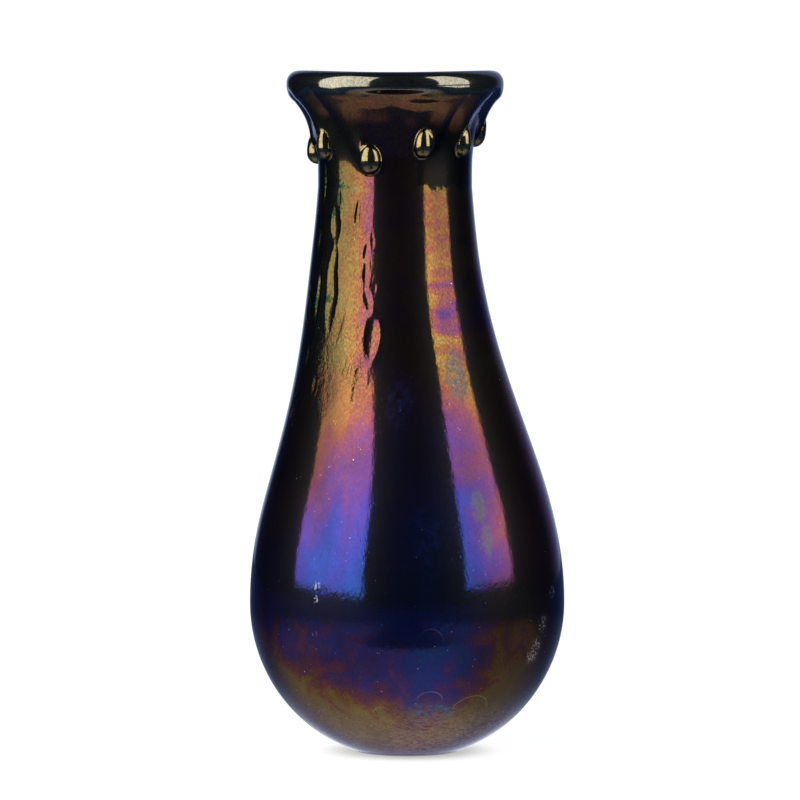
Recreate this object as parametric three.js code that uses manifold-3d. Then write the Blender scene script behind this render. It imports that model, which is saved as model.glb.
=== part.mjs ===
// A blown glass vase: a pear-shaped body on a small ground foot, a slender neck that leans a little,
// and a thick rolled lip whose collar was pulled down, hot, into a ring of hanging drops.
// Millimetres, +Z up, origin at the centre of the foot. The front of the vase faces -Y.
import * as THREE from "three";
import { mergeVertices } from "three/addons/utils/BufferGeometryUtils.js";
import Module from "manifold-3d";

const wasm = await Module();
wasm.setup();

// Outline of the blown body.
const HEIGHT = 300;
const BELLY_RADIUS = 69.4;
const FOOT_RADIUS = 22;
const NECK_RADIUS = 33.9;
const LIP_RADIUS = 47.7;
const COLLAR_HEIGHT = 51; // from the narrowest point of the neck to the top of the lip

// Glass thickness.
const BODY_WALL = 4.5;
const NECK_WALL = 4.8;
const LIP_WIDTH = 10.4; // across the rolled lip
const BASE_THICKNESS = 9;

// The rolled lip and the flare below it.
const LIP_CROWN = 5.4; // height of the lip's rounded top above its widest point
const LIP_DEPTH = 13.5; // from the lip's top down to where the flare turns outward into it
const LIP_UNDERCUT = 3.1; // how far the flare has come in from the lip at that depth

// The ground and polished mark where the vase was held on the iron.
const PONTIL_RADIUS = 13;
const PONTIL_DEPTH = 1.4;
const FOOT_EDGE = 0.8; // rounding where the foot was ground flat

// Hand-made irregularity: the neck leans to the left, and the lip dips.
const LEAN = 5.3;
const LEAN_FROM = 110; // height where the axis starts to lean
const LEAN_TO = 225; // height where it runs straight again
const LIP_DIP = 1.4; // how far the lip sinks at the front and the back

// The pulled drops: each one's turn from the front, the turn where its ridge leaves the lip, how far its tip
// hangs below the lip, and its width.
const DROPS = [
  { turn: -101, root: -100, hang: 41, width: 8.4 },
  { turn: -58, root: -66, hang: 39, width: 8.2 },
  { turn: -18, root: -34, hang: 45.5, width: 10.4 },
  { turn: 20, root: 33, hang: 38.5, width: 8.6 },
  { turn: 55, root: 48, hang: 37.6, width: 8.2 },
  { turn: 98, root: 94, hang: 33.6, width: 8.8 },
  { turn: 137, root: 142, hang: 39, width: 8.6 },
  { turn: 178, root: 175, hang: 36, width: 8.4 },
  { turn: 218, root: 224, hang: 41, width: 8.8 },
];
const DROP_LENGTH = 13.5; // of the rounded bead, before its tail
const DROP_STAND = 5; // how far a drop stands out from the neck
const DROP_TAIL = 3; // of the taper above the bead, where it runs into its ridge
const DROP_ROOT = 2.4; // how deep a drop's back is set into the neck's wall
const RIDGE_STAND = 3.6; // how far the pulled collar stands out above a drop
const RIDGE_SPREAD = 11.5; // half width of that ridge where it leaves the lip
const ARCH_DEPTH = 3.4; // how far the collar sinks in between two ridges
const ARCH_TOP = 9; // from the lip's top down to where those hollows start
const ARCH_DEEPEST = 16; // and down to where they are deepest
const ARCH_HANG = 38; // and down to where they end

// Free form of the curves, as shares of the stretch that each one spans.
const SHOULDER_SWELL = 0.31;
const NECK_REACH = 0.56;
const NECK_TAPER = 0.07;
const FLARE_RISE = 0.39;
const FLARE_SWEEP = 0.3;
const ROLL_SWELL = 0.75;
const ROLL_TURN = 0.25; // of the roll's lower end
const ROLL_REACH = 0.65; // of its upper end, where it stands upright
const THROAT_ROLL = 0.25;
const THROAT_REACH = 0.62;
const RIDGE_PEAK = 0.35; // where a ridge stands out most, from the drop's tip up to the lip
const RIDGE_FAN = 3; // power by which a ridge fans out on its way up to the lip

// Fineness of the mesh.
const TURNS = 72;
const ARC_STEPS = { foot: 2, belly: 8, shoulder: 10, flare: 9, roll: 3, lip: 6, throat: 4, inside: 5 };
const DROP_TURNS = 12;
const DROP_STEPS = 10;
const TIP_CROWDING = 1.3; // power that draws a drop's rings together towards its tip
const FLARE_SAMPLES = 40; // places along the flare where its radius is looked up
const WELD = 1e-3; // points nearer than this are one point

// Heights and radii that follow from the sizes above.
const neckHeight = HEIGHT - COLLAR_HEIGHT;
const bellyHeight = Math.sqrt(BELLY_RADIUS ** 2 - FOOT_RADIUS ** 2);
const flareTop = HEIGHT - LIP_DEPTH;
const crownBase = HEIGHT - LIP_CROWN;
const lipMiddle = LIP_RADIUS - LIP_WIDTH / 2;

const point = (radius, height) => new THREE.Vector2(radius, height);
const radians = THREE.MathUtils.degToRad;
const smooth = (x, low, high) => THREE.MathUtils.smoothstep(x, low, high);

// The body's side from its widest point up to the narrowest point of the neck.
function shoulder(bellyRadius, neckRadius) {
  const rise = neckHeight - bellyHeight;
  const reach = NECK_REACH * rise;
  return new THREE.CubicBezierCurve(
    point(bellyRadius, bellyHeight),
    point(bellyRadius, bellyHeight + SHOULDER_SWELL * rise),
    point(neckRadius + NECK_TAPER * reach, neckHeight - reach),
    point(neckRadius, neckHeight),
  );
}

// The outside of the collar, from the neck out to where it turns into the lip.
function flare() {
  const rise = flareTop - neckHeight;
  const edge = LIP_RADIUS - LIP_UNDERCUT;
  const sweep = FLARE_SWEEP * rise;
  return new THREE.CubicBezierCurve(
    point(NECK_RADIUS, neckHeight),
    point(NECK_RADIUS, neckHeight + FLARE_RISE * rise),
    point(edge - sweep, flareTop - sweep),
    point(edge, flareTop),
  );
}

// The underside of the lip, from the end of the flare out to its widest point.
function lipUnderside() {
  const rise = crownBase - flareTop;
  const edge = LIP_RADIUS - LIP_UNDERCUT;
  return new THREE.CubicBezierCurve(
    point(edge, flareTop),
    point(edge + LIP_UNDERCUT * ROLL_SWELL, flareTop + rise * ROLL_TURN),
    point(LIP_RADIUS, crownBase - rise * ROLL_REACH),
    point(LIP_RADIUS, crownBase),
  );
}

// The rounded top of the lip, from its widest point over to the mouth.
function lipCrown() {
  return new THREE.EllipseCurve(lipMiddle, crownBase, LIP_WIDTH / 2, LIP_CROWN, 0, Math.PI);
}

// The inside of the collar, from the mouth down to the neck.
function throat() {
  const drop = crownBase - neckHeight;
  return new THREE.CubicBezierCurve(
    point(LIP_RADIUS - LIP_WIDTH, crownBase),
    point(LIP_RADIUS - LIP_WIDTH, crownBase - THROAT_ROLL * drop),
    point(NECK_RADIUS - NECK_WALL, neckHeight + THROAT_REACH * drop),
    point(NECK_RADIUS - NECK_WALL, neckHeight),
  );
}

// The outside below the widest point is part of a sphere that the foot cuts flat.
function bellyArc() {
  const footAngle = Math.asin(-(bellyHeight - FOOT_EDGE) / BELLY_RADIUS);
  return new THREE.EllipseCurve(0, bellyHeight, BELLY_RADIUS, BELLY_RADIUS, footAngle, 0);
}

// The inside below the widest point comes down to the thick base.
function innerBelly() {
  const radius = BELLY_RADIUS - BODY_WALL;
  return new THREE.EllipseCurve(0, bellyHeight, radius, bellyHeight - BASE_THICKNESS, 0, -Math.PI / 2, true);
}

// The closed profile, from the middle of the foot up the outside, over the lip and down the inside.
function profile() {
  const belly = bellyArc();
  const curves = [
    [new THREE.QuadraticBezierCurve(point(0, PONTIL_DEPTH), point(PONTIL_RADIUS / 2, PONTIL_DEPTH),
      point(PONTIL_RADIUS, 0)), ARC_STEPS.foot],
    [new THREE.LineCurve(point(PONTIL_RADIUS, 0), point(FOOT_RADIUS - FOOT_EDGE, 0)), 1],
    [new THREE.LineCurve(point(FOOT_RADIUS - FOOT_EDGE, 0), belly.getPoint(0)), 1],
    [belly, ARC_STEPS.belly],
    [shoulder(BELLY_RADIUS, NECK_RADIUS), ARC_STEPS.shoulder],
    [flare(), ARC_STEPS.flare],
    [lipUnderside(), ARC_STEPS.roll],
    [lipCrown(), ARC_STEPS.lip],
    [throat(), ARC_STEPS.throat],
  ];
  const points = [curves[0][0].getPoint(0)];
  for (const [curve, steps] of curves) points.push(...curve.getPoints(steps).slice(1));
  const outside = points.length - ARC_STEPS.throat - ARC_STEPS.lip;
  const inside = shoulder(BELLY_RADIUS - BODY_WALL, NECK_RADIUS - NECK_WALL).getPoints(ARC_STEPS.inside);
  points.push(...inside.reverse().slice(1), ...innerBelly().getPoints(ARC_STEPS.inside).slice(1));
  points[points.length - 1].x = 0;
  return { points, outside };
}

// How far the pulled collar stands out over the ridges, or sinks in between them, at a place on it.
function relief(turn, height) {
  const hang = HEIGHT - height;
  const hollow = ARCH_DEPTH * smooth(hang, ARCH_TOP, ARCH_DEEPEST) * (1 - smooth(hang, ARCH_DEEPEST, ARCH_HANG));
  let stand = 0;
  let pulled = 0;
  for (const drop of DROPS) {
    const share = (drop.hang - hang) / (drop.hang - LIP_DEPTH);
    if (share <= 0) continue;
    const middle = THREE.MathUtils.lerp(drop.turn, drop.root, share);
    const away = Math.abs(THREE.MathUtils.euclideanModulo(turn - middle + 180, 360) - 180);
    const spread = THREE.MathUtils.lerp(drop.width / 2, RIDGE_SPREAD, share ** RIDGE_FAN);
    const across = radians(away) * NECK_RADIUS / spread;
    const near = Math.exp(-across * across);
    const rise = smooth(share, 0, RIDGE_PEAK) * THREE.MathUtils.clamp((1 - share) / (1 - RIDGE_PEAK), 0, 1);
    stand = Math.max(stand, RIDGE_STAND * rise * near);
    pulled = Math.max(pulled, near);
  }
  return stand - hollow * (1 - pulled);
}

// Sideways shift of the leaning axis at a height.
const lean = (height) => -LEAN * smooth(height, LEAN_FROM, LEAN_TO);

// Radius of the outside, without ridges, at a height in the collar.
const flarePoints = flare().getPoints(FLARE_SAMPLES);
function collarRadius(height) {
  const above = Math.max(1, flarePoints.findIndex((place) => place.y >= height));
  const [low, high] = [flarePoints[above - 1], flarePoints[above]];
  return THREE.MathUtils.mapLinear(Math.max(height, low.y), low.y, high.y, low.x, high.x);
}

// The blown body, with the collar's relief, the lip's dip and the leaning neck.
function body() {
  const { points, outside } = profile();
  const geometry = new THREE.LatheGeometry(points, TURNS);
  geometry.rotateX(Math.PI / 2);
  const position = geometry.getAttribute("position");
  for (let i = 0; i < position.count; i++) {
    const row = i % points.length;
    const { x: radius, y: height } = points[row];
    const angle = Math.atan2(position.getX(i), -position.getY(i));
    const stand = row < outside ? relief(THREE.MathUtils.radToDeg(angle), height) : 0;
    const dip = LIP_DIP * Math.cos(angle) ** 2 * smooth(height, neckHeight, HEIGHT);
    position.setXYZ(
      i,
      (radius + stand) * Math.sin(angle) + lean(height),
      -(radius + stand) * Math.cos(angle),
      height - dip,
    );
  }
  return geometry;
}

// One drop: a round bead below a tapering tail that follows the collar's slope and sinks into it.
function drop({ turn, hang, width }) {
  const tip = HEIGHT - hang;
  const bead = DROP_LENGTH / 2;
  const length = DROP_LENGTH + DROP_TAIL;
  const outline = [];
  for (let i = 0; i <= DROP_STEPS; i++) {
    const height = length * (i / DROP_STEPS) ** TIP_CROWDING;
    const full = height < bead
      ? Math.sqrt(1 - (1 - height / bead) ** 2)
      : 1 - smooth(height, bead, length);
    outline.push(point(width / 2 * full, height));
  }
  outline[DROP_STEPS].x = 0;
  const geometry = new THREE.LatheGeometry(outline, DROP_TURNS);
  geometry.rotateX(Math.PI / 2);
  const position = geometry.getAttribute("position");
  for (let i = 0; i < position.count; i++) {
    const above = position.getZ(i);
    const middle = THREE.MathUtils.lerp(DROP_STAND - width / 2, -DROP_ROOT / 2, smooth(above, bead, length));
    const out = Math.max(middle - position.getY(i), -DROP_ROOT);
    position.setY(i, -collarRadius(tip + above) - out);
    position.setZ(i, tip + above);
  }
  geometry.rotateZ(radians(turn));
  geometry.translate(lean(tip), 0, 0);
  return geometry;
}

// A closed three.js geometry as a solid that can be joined.
function solid(geometry) {
  geometry.deleteAttribute("normal");
  geometry.deleteAttribute("uv");
  const merged = mergeVertices(geometry, WELD);
  return new wasm.Manifold(new wasm.Mesh({
    numProp: 3,
    vertProperties: merged.getAttribute("position").array,
    triVerts: new Uint32Array(merged.index.array),
  }));
}

// A solid back as a three.js geometry.
function geometryOf(joined) {
  const mesh = joined.getMesh();
  return new THREE.BufferGeometry()
    .setAttribute("position", new THREE.BufferAttribute(mesh.vertProperties, 3))
    .setIndex(new THREE.BufferAttribute(mesh.triVerts, 1));
}

const glass = new THREE.MeshStandardMaterial({ color: 0x1a1430, roughness: 0.12, metalness: 0.9 });

const joined = DROPS.reduce((vase, one) => vase.add(solid(drop(one))), solid(body()));
const vase = new THREE.Mesh(geometryOf(joined), glass);
vase.name = "vase";

const group = new THREE.Group();
group.add(vase);

export default group;
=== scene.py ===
"""A blown lustre-glass vase on a pale floor.

A pear-shaped body of near-black glass stands on a small ground foot. Its neck leans a little, its lip is a
thick roll, and the collar below the lip was pulled down, hot, into a ring of hanging drops. A thin metal
lustre colours every reflection: gold at the neck, then rose, violet and blue at the belly, bronze at the foot.

Sizes are in millimetres inside the classes that shape the glass, and in metres in the meshes, the materials
and the studio. Turns are in degrees from the front, which faces -Y, towards +X.
"""

import logging
import math
from dataclasses import dataclass, field
from enum import Enum

import bmesh
import bpy
import numpy as np
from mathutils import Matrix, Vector


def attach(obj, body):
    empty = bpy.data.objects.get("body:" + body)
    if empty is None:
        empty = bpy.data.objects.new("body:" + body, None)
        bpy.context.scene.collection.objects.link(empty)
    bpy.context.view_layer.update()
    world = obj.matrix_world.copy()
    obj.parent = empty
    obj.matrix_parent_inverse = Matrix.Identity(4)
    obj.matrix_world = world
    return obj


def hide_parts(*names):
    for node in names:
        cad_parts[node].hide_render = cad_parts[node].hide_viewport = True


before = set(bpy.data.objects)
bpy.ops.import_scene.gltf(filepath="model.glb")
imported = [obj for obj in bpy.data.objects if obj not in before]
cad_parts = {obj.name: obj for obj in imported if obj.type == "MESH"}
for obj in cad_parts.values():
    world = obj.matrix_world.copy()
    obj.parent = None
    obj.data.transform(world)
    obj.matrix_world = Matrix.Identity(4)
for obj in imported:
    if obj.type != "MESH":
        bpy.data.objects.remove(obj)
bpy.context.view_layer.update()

MM = 0.001
SAMPLES = 200  # points on a curve before they are spaced evenly
log = logging.getLogger("vase")

Socket = bpy.types.NodeSocket
Pair = tuple[float, float]
Triple = tuple[float, float, float]
Spots = tuple[tuple[float, float, float, float], ...]


class Zone(Enum):
    """The stretches of glass that are finished differently, in the order of the material slots."""

    OUTSIDE = 0
    INSIDE = 1
    FOOT = 2


def smooth(value: np.ndarray, low: float, high: float) -> np.ndarray:
    """Ease a value from 0 at low to 1 at high.

    Args:
        value: The numbers to ease.
        low: Where the result starts to rise.
        high: Where it reaches 1.

    Returns:
        Numbers from 0 to 1, of the same shape.
    """
    share = np.clip((value - low) / (high - low), 0.0, 1.0)
    return share * share * (3.0 - 2.0 * share)


def bezier(corners: list[Pair]) -> np.ndarray:
    """Sample a cubic curve.

    Args:
        corners: Its four control points, as radius and height.

    Returns:
        Points along it, one radius and height to a row.
    """
    t = np.linspace(0.0, 1.0, SAMPLES + 1)[:, None]
    a, b, c, d = (np.array(corner, dtype=float) for corner in corners)
    return (1 - t) ** 3 * a + 3 * (1 - t) ** 2 * t * b + 3 * (1 - t) * t**2 * c + t**3 * d


def arc(centre: Pair, radii: Pair, start: float, end: float) -> np.ndarray:
    """Sample part of an ellipse in the plane of radius and height.

    Args:
        centre: Radius and height of its centre.
        radii: Its half axes along the radius and the height.
        start: First angle in radians, 0 pointing outward.
        end: Last angle in radians.

    Returns:
        Points along it, one radius and height to a row.
    """
    t = np.linspace(start, end, SAMPLES)
    return np.stack([centre[0] + radii[0] * np.cos(t), centre[1] + radii[1] * np.sin(t)], axis=1)


def evenly(points: np.ndarray, step: float) -> np.ndarray:
    """Space points evenly along a sampled curve.

    Args:
        points: The curve, one radius and height to a row.
        step: The wanted distance between two points.

    Returns:
        Points about that far apart, with both ends kept.
    """
    along = np.concatenate([[0.0], np.cumsum(np.hypot(*np.diff(points, axis=0).T))])
    places = np.linspace(0.0, along[-1], max(2, round(along[-1] / step) + 1))
    return np.stack([np.interp(places, along, points[:, 0]), np.interp(places, along, points[:, 1])], axis=1)


def wrap(turn: np.ndarray) -> np.ndarray:
    """Bring turns into the range from -180 to 180 degrees."""
    return (turn + 180.0) % 360.0 - 180.0


@dataclass
class Outline:
    """The turned form of the vase, before the collar is pulled.

    All fields are in millimetres, except those whose comment calls them shares.
    """

    height: float = 300.0
    belly_radius: float = 69.4
    foot_radius: float = 22.0
    neck_radius: float = 33.9
    lip_radius: float = 47.7
    collar_height: float = 51.0
    body_wall: float = 4.5
    neck_wall: float = 4.8
    lip_width: float = 10.4
    base_thickness: float = 9.0
    lip_crown: float = 5.4
    lip_depth: float = 13.5
    lip_undercut: float = 3.1
    pontil_radius: float = 13.0
    pontil_depth: float = 1.4
    foot_edge: float = 0.8
    shoulder_swell: float = 0.31  # share of the rise from belly to neck
    neck_reach: float = 0.56  # share of the same rise
    neck_taper: float = 0.07  # share of that reach
    flare_rise: float = 0.39  # share of the flare's height
    flare_sweep: float = 0.3  # share of the flare's height
    throat_roll: float = 0.25  # share of the throat's depth
    throat_reach: float = 0.62  # share of the throat's depth
    underside_bend: Triple = (0.75, 0.25, 0.65)  # a share of the lip's undercut, and two of its underside's rise
    hollow_bend: Triple = (0.4, 0.8, 0.4)  # two shares of the hollow's radius, and one of its depth
    edge_bend: Triple = (0.55, 0.5, 0.3)  # two shares of the width of the ring's edge, and one of its rise

    @property
    def neck_height(self) -> float:
        """Height of the narrowest point."""
        return self.height - self.collar_height

    @property
    def belly_height(self) -> float:
        """Height of the widest point, the centre of the sphere that the foot cuts."""
        return math.sqrt(self.belly_radius**2 - self.foot_radius**2)

    @property
    def flare_top(self) -> float:
        """Height where the flare turns outward into the lip."""
        return self.height - self.lip_depth

    def shoulder(self, belly: float, neck: float) -> np.ndarray:
        """Draw the side from the widest point up to the neck.

        Args:
            belly: Radius at the widest point.
            neck: Radius at the narrowest point.

        Returns:
            Points along it, from the bottom up.
        """
        rise = self.neck_height - self.belly_height
        reach = self.neck_reach * rise
        return bezier([
            (belly, self.belly_height),
            (belly, self.belly_height + self.shoulder_swell * rise),
            (neck + self.neck_taper * reach, self.neck_height - reach),
            (neck, self.neck_height),
        ])

    def flare(self) -> np.ndarray:
        """Draw the outside of the collar, from the neck up to the lip.

        Returns:
            Points along it, from the bottom up.
        """
        rise = self.flare_top - self.neck_height
        edge = self.lip_radius - self.lip_undercut
        sweep = self.flare_sweep * rise
        return bezier([
            (self.neck_radius, self.neck_height),
            (self.neck_radius, self.neck_height + self.flare_rise * rise),
            (edge - sweep, self.flare_top - sweep),
            (edge, self.flare_top),
        ])

    def lip_underside(self) -> np.ndarray:
        """Draw the underside of the lip out to its widest point.

        Returns:
            Points along it, from the bottom up.
        """
        crown_base = self.height - self.lip_crown
        rise = crown_base - self.flare_top
        edge = self.lip_radius - self.lip_undercut
        out, up, down = self.underside_bend
        return bezier([
            (edge, self.flare_top),
            (edge + out * self.lip_undercut, self.flare_top + up * rise),
            (self.lip_radius, crown_base - down * rise),
            (self.lip_radius, crown_base),
        ])

    def throat(self) -> np.ndarray:
        """Draw the inside of the collar, from the mouth down to the neck.

        Returns:
            Points along it, from the top down.
        """
        mouth = self.lip_radius - self.lip_width
        neck = self.neck_radius - self.neck_wall
        top = self.height - self.lip_crown
        depth = top - self.neck_height
        return bezier([
            (mouth, top),
            (mouth, top - self.throat_roll * depth),
            (neck, self.neck_height + self.throat_reach * depth),
            (neck, self.neck_height),
        ])

    def foot(self) -> list[np.ndarray]:
        """Draw the polished hollow, the ground ring and the ring's rounded edge.

        Returns:
            The three curves, from the middle outward.
        """
        near, far, rise = self.hollow_bend
        hollow = bezier([
            (0.0, self.pontil_depth),
            (self.pontil_radius * near, self.pontil_depth),
            (self.pontil_radius * far, self.pontil_depth * rise),
            (self.pontil_radius, 0.0),
        ])
        ring_edge = self.foot_radius - self.foot_edge
        start = self.belly_arc()[0]
        out, on, up = self.edge_bend
        corner = (ring_edge + out * (start[0] - ring_edge), 0.0)
        edge = bezier([(ring_edge, 0.0), corner, (on * (corner[0] + start[0]), up * start[1]), tuple(start)])
        return [hollow, np.array([hollow[-1], (ring_edge, 0.0)]), edge]

    def belly_arc(self) -> np.ndarray:
        """Draw the sphere below the widest point.

        Returns:
            Points along it, from the foot up.
        """
        angle = math.asin(-(self.belly_height - self.foot_edge) / self.belly_radius)
        radii = (self.belly_radius, self.belly_radius)
        return arc((0.0, self.belly_height), radii, angle, 0.0)

    def rows(self) -> tuple[np.ndarray, list[Zone], np.ndarray]:
        """Lay out the rows of the mesh along the whole profile.

        Returns:
            Radius and height of each row from the middle of the foot, over the lip, to just before the middle of
            the inside; the zone of the glass above each row; and which rows the pulled collar may move.
        """
        inner_belly = self.belly_radius - self.body_wall
        inner_neck = self.neck_radius - self.neck_wall
        crown = arc(
            (self.lip_radius - self.lip_width / 2, self.height - self.lip_crown),
            (self.lip_width / 2, self.lip_crown), 0.0, math.pi,
        )
        bowl = arc(
            (0.0, self.belly_height), (inner_belly, self.belly_height - self.base_thickness), 0.0, -math.pi / 2
        )
        hollow, ring, edge = self.foot()
        # Each curve, the distance between its rows, the zone of its glass, and whether the collar may move it.
        plan = [
            (hollow, 1.9, Zone.FOOT, False),
            (ring, 2.0, Zone.FOOT, False),
            (edge, 0.5, Zone.FOOT, False),
            (self.belly_arc(), 2.5, Zone.OUTSIDE, True),
            (self.shoulder(self.belly_radius, self.neck_radius), 1.95, Zone.OUTSIDE, True),
            (self.flare(), 0.9, Zone.OUTSIDE, True),
            (self.lip_underside(), 0.6, Zone.OUTSIDE, True),
            (crown, 1.15, Zone.OUTSIDE, False),
            (self.throat(), 3.0, Zone.INSIDE, False),
            (self.shoulder(inner_belly, inner_neck)[::-1], 8.0, Zone.INSIDE, False),
            (bowl, 8.0, Zone.INSIDE, False),
        ]
        points, zones, pulled = [], [], []
        for curve, step, zone, moves in plan:
            part = evenly(curve, step)[:-1]
            points.append(part)
            zones += [zone] * len(part)
            pulled += [moves] * len(part)
        return np.concatenate(points)[1:], zones[1:], np.array(pulled[1:])


@dataclass(frozen=True)
class Drop:
    """One drop of the collar, pulled down while the glass was hot.

    Attributes:
        turn: Where it hangs, in degrees.
        root: Where its ridge leaves the lip, in degrees.
        hang: How far its tip is below the top of the lip, in millimetres.
        width: Width of its bead, in millimetres.
    """

    turn: float
    root: float
    hang: float
    width: float


@dataclass
class Collar:
    """The pulled collar: ridges that run down into drops, with hollow arches between them.

    All fields are in millimetres, except those whose comment says otherwise.
    """

    drops: tuple[Drop, ...] = (
        Drop(-101, -100, 41.0, 8.2),
        Drop(-58, -66, 39.0, 7.9),
        Drop(-18, -34, 45.5, 10.2),
        Drop(20, 33, 38.5, 8.3),
        Drop(55, 48, 37.6, 8.0),
        Drop(98, 94, 33.6, 8.6),
        Drop(137, 142, 39.0, 8.4),
        Drop(178, 175, 36.0, 8.2),
        Drop(218, 224, 41.0, 8.6),
    )
    outline: Outline = field(default_factory=Outline)
    bead_stand: float = 5.3
    bead_length: float = 13.4
    bead_below: float = 1.1  # its length below its middle, in half widths
    bead_out: float = 2.5  # how far outside the neck its width is measured
    contact: float = 102.0  # degrees by which a bead's surface has turned where it meets the neck
    reach: float = 1.7  # how far round a bead its neighbourhood is drawn, in half widths
    ridge_stand: float = 2.9
    ridge_width: float = 4.2
    ridge_spread: float = 11.5
    ridge_peak: float = 0.35  # where it stands out most, from 0 at the tip to 1 under the lip
    ridge_end: float = 1.3  # where it stops turning and widening, on the same scale
    ridge_fan: float = 3.0  # how late it widens; 1 is evenly
    ridge_square: float = 2.2  # how square it is across; 2 is a bell
    hollow_top: float = 256.0  # height from which the arches are hollowed in full
    arch_table: Triple = (238.0, 302.0, 0.2)  # lowest height, highest height and step of the eased arch
    arch_ease: int = 11  # how many of those steps are eased together
    arch: tuple[Pair, ...] = (
        (240.0, 33.9), (249.0, 33.9), (256.0, 34.0), (262.0, 34.3), (266.0, 34.7), (270.0, 35.3), (274.0, 36.0),
        (278.0, 36.9), (281.0, 37.8), (283.0, 38.75), (284.0, 39.3), (286.0, 40.5), (288.0, 41.75), (290.0, 43.0),
        (290.7, 43.5), (291.3, 45.0), (291.9, 46.6), (292.4, 47.3), (293.0, 47.6), (295.0, 47.7), (300.0, 47.7),
    )

    def arch_radius(self, height: np.ndarray) -> np.ndarray:
        """Look up the radius in the middle of an arch, with the corners between its points eased.

        Args:
            height: Heights in millimetres.

        Returns:
            The radii in millimetres.
        """
        places = np.arange(*self.arch_table)
        window = np.hanning(self.arch_ease)
        eased = np.convolve(np.interp(places, *zip(*self.arch)), window / window.sum(), "same")
        trim = self.arch_ease // 2 + 1
        return np.interp(height, places[trim:-trim], eased[trim:-trim])

    def relief(self, turn: np.ndarray, height: np.ndarray) -> np.ndarray:
        """Measure how far the collar stands out over the ridges or sinks between them.

        Args:
            turn: Turns in degrees.
            height: Heights in millimetres.

        Returns:
            The radial shift in millimetres.
        """
        hang = self.outline.height - height
        side = np.concatenate([self.outline.flare(), self.outline.lip_underside()[1:]])
        hollow = np.interp(height, side[:, 1], side[:, 0]) - self.arch_radius(height)
        hollow = np.clip(hollow, 0.0, None) * smooth(height, self.outline.neck_height, self.hollow_top)
        stand = np.zeros_like(turn)
        pulled = np.zeros_like(turn)
        for drop in self.drops:
            share = (drop.hang - hang) / (drop.hang - self.outline.lip_depth)
            held = np.clip(share, 0.0, self.ridge_end)
            middle = drop.turn + (drop.root - drop.turn) * held
            spread = self.ridge_width + (self.ridge_spread - self.ridge_width) * held**self.ridge_fan
            across = np.radians(np.abs(wrap(turn - middle))) * self.outline.neck_radius / spread
            near = np.exp(-(across**self.ridge_square)) * (share > 0)
            rise = smooth(held, 0.0, self.ridge_peak)
            rise *= np.clip((1.0 - held) / (1.0 - self.ridge_peak), 0.0, 1.0)
            stand = np.maximum(stand, self.ridge_stand * rise * near)
            pulled = np.maximum(pulled, near)
        return stand - hollow * (1.0 - pulled)

    def bead(
        self, drop: Drop, turn: np.ndarray, height: np.ndarray
    ) -> tuple[np.ndarray, np.ndarray, np.ndarray, np.ndarray]:
        """Swell the grid into one bead, whose side curls back under before it meets the neck.

        Args:
            drop: The drop that the bead ends.
            turn: Turns of the grid in degrees.
            height: Heights of the grid in millimetres.

        Returns:
            The new turns, the new heights, how far the bead stands out there, and each point's share of the way
            from the bead's middle to where it meets the neck.
        """
        radius = self.outline.neck_radius + self.bead_out
        half = drop.width / 2
        below = half * self.bead_below
        middle = self.outline.height - drop.hang + below
        side = np.radians(wrap(turn - drop.turn)) * radius
        rise = height - middle
        semi = np.where(rise > 0, self.bead_length - below, below)
        share = np.maximum(np.hypot(side / half, rise / semi), 1e-6)
        contact = math.radians(self.contact)
        foot = math.sin(contact)
        inside = np.sin(np.minimum(share, 1.0) * contact)
        outside = foot + (share - 1.0) * (self.reach - foot) / (self.reach - 1.0)
        scale = np.where(share < 1.0, inside, outside) / share
        scale = np.where(share < self.reach, scale, 1.0)
        stand = (np.cos(np.minimum(share, 1.0) * contact) - math.cos(contact)) / (1.0 - math.cos(contact))
        new_turn = drop.turn + np.degrees(side * scale / radius)
        return new_turn, middle + rise * scale, self.bead_stand * stand, share


@dataclass(frozen=True)
class Flaw:
    """A pit, trough or fold that the hot glass was left with.

    Attributes:
        turn: Turn of its middle, in degrees.
        height: Height of its middle, in millimetres.
        half_width: Half its width, in millimetres.
        half_height: Half its height, in millimetres.
        depth: How far its middle sinks in, in millimetres.
        rim: How far its edge stands out, in millimetres.
        slant: How far its top leans sideways, in millimetres for each millimetre up.
    """

    turn: float
    height: float
    half_width: float
    half_height: float
    depth: float
    rim: float = 0.1
    slant: float = 0.0
    WANDER = (0.10, 0.12)  # how far the outline wanders sideways, in half widths and in millimetres
    LIFT = 0.5  # how far it wanders up and down, in millimetres
    WAVES = (0.31, 1.3, 1.1)  # radians to a millimetre: slow and quick up the glass, and round it
    QUICK_SHARE = 0.6
    DISH = 0.8  # below 1 the sides are steeper than a bowl's
    RIM_AT, RIM_WIDTH = 1.08, 0.22  # in half widths

    def stand(self, turn: np.ndarray, height: np.ndarray, radius: float) -> np.ndarray:
        """Measure the flaw's radial shift over the grid.

        Args:
            turn: Turns in degrees.
            height: Heights in millimetres.
            radius: Radius of the glass there, in millimetres.

        Returns:
            The shift in millimetres, negative where the flaw sinks in.
        """
        up = height - self.height
        side = np.radians(wrap(turn - self.turn)) * radius - self.slant * up
        slow, quick, round_it = self.WAVES
        bend = self.WANDER[0] * self.half_width + self.WANDER[1]
        ripple = self.QUICK_SHARE * np.sin(height * quick + side * round_it)
        side = side + bend * (np.sin(height * slow + self.turn) + ripple)
        up = up + self.LIFT * np.sin(side * quick + self.height)
        share = np.hypot(side / self.half_width, up / self.half_height)
        dish = np.clip(1.0 - share**2, 0.0, 1.0) ** self.DISH
        edge = np.exp(-(((share - self.RIM_AT) / self.RIM_WIDTH) ** 2))
        return self.rim * edge - self.depth * dish


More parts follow.
